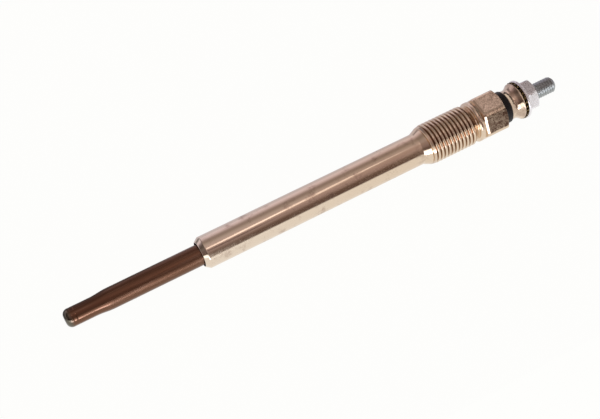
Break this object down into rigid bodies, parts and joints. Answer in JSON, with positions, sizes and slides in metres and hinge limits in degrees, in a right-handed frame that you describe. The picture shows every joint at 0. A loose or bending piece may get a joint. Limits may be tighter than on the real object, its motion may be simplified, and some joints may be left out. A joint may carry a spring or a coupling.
{
  "type": "diesel glow plug",
  "caption": "Slender metal glow plug: dark heater tube, nickel-plated barrel with thread and hex, black insulating ring and a threaded terminal stud with washers and nut.",
  "frame": {"origin": "on the plug's axis, where the sealing cone meets the barrel", "axes": "+X along the plug's axis from the tip to the terminal stud, one flat of the body's hex facing straight down (-Z)"},
  "size_m": [0.1304, 0.0116, 0.01],
  "materials": {
    "nickel_plated_steel": "bright nickel plating, slightly warm",
    "heat_stained_tube": "satin, heat-stained dark reddish brown",
    "resistance_wire": "drawn wire",
    "magnesia": "packed mineral powder",
    "seal_rubber": "moulded rubber",
    "dark_steel": "rolled thread, dark phosphated",
    "black_insulator": "moulded, matt",
    "yellow_passivated_steel": "yellow passivated zinc",
    "zinc_plated_steel": "pale zinc plating"
  },
  "bodies": {
    "root": {"body": "nickel_plated_steel", "heater_tube": "heat_stained_tube", "heating_coil": "resistance_wire", "control_coil": "resistance_wire", "insulating_powder": "magnesia", "tube_seal": "seal_rubber", "centre_rod": "dark_steel", "body_seal": "seal_rubber", "insulating_washer": "black_insulator", "round_nut": "nickel_plated_steel", "lock_washer": "yellow_passivated_steel", "plain_washer": "zinc_plated_steel", "terminal_nut": "zinc_plated_steel"}
  },
  "joints": []
}
